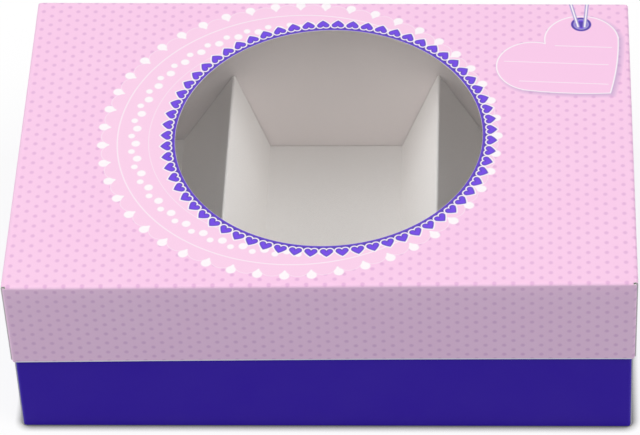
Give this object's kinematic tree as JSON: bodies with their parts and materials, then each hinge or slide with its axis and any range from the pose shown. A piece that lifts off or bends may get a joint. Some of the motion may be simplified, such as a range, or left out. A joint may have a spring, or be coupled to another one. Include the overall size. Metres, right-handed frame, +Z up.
{
  "type": "sweet box",
  "caption": "Rectangular two-part paperboard sweet box: printed lift-off lid with a round clear window over a plain deeper tray, and a loose ridged card that divides the inside.",
  "frame": {"origin": "middle of the base's underside, on the surface the box stands on", "axes": "+X along the box's length to its right side, +Y from the front wall to the back wall, +Z up"},
  "size_m": [0.2002, 0.1316, 0.0677],
  "materials": {
    "lid_print": "satin",
    "base_print": "satin",
    "plain_board": "matte",
    "film_glue": "matte",
    "clear_film": "gloss"
  },
  "bodies": {
    "base": {"base_bottom_panel": "base_print", "base_front_wall": "base_print", "base_back_wall": "base_print", "base_left_wall": "base_print", "base_right_wall": "base_print", "base_left_roll_in": "base_print", "base_right_roll_in": "base_print", "base_front_left_flap": "base_print", "base_back_left_flap": "base_print", "base_front_right_flap": "base_print", "base_back_right_flap": "base_print"},
    "lid": {"lid_top_panel": "lid_print", "lid_front_wall": "lid_print", "lid_back_wall": "lid_print", "lid_left_wall": "lid_print", "lid_right_wall": "lid_print", "lid_left_roll_in": "lid_print", "lid_right_roll_in": "lid_print", "lid_front_left_flap": "lid_print", "lid_back_left_flap": "lid_print", "lid_front_right_flap": "lid_print", "lid_back_right_flap": "lid_print", "film_glue_band": "film_glue", "window_film": "clear_film"},
    "insert": {"insert_middle_floor": "plain_board", "insert_left_inner_slope": "plain_board", "insert_left_outer_slope": "plain_board", "insert_left_floor": "plain_board", "insert_right_inner_slope": "plain_board", "insert_right_outer_slope": "plain_board", "insert_right_floor": "plain_board"}
  },
  "joints": [
    {"name": "lid_lift", "type": "slide", "parent": "base", "child": "lid", "axis": [0, 0, 1], "range_m": [0, 0.075]},
    {"name": "insert_lift", "type": "slide", "parent": "base", "child": "insert", "axis": [0, 0, 1], "range_m": [0, 0.028]}
  ]
}
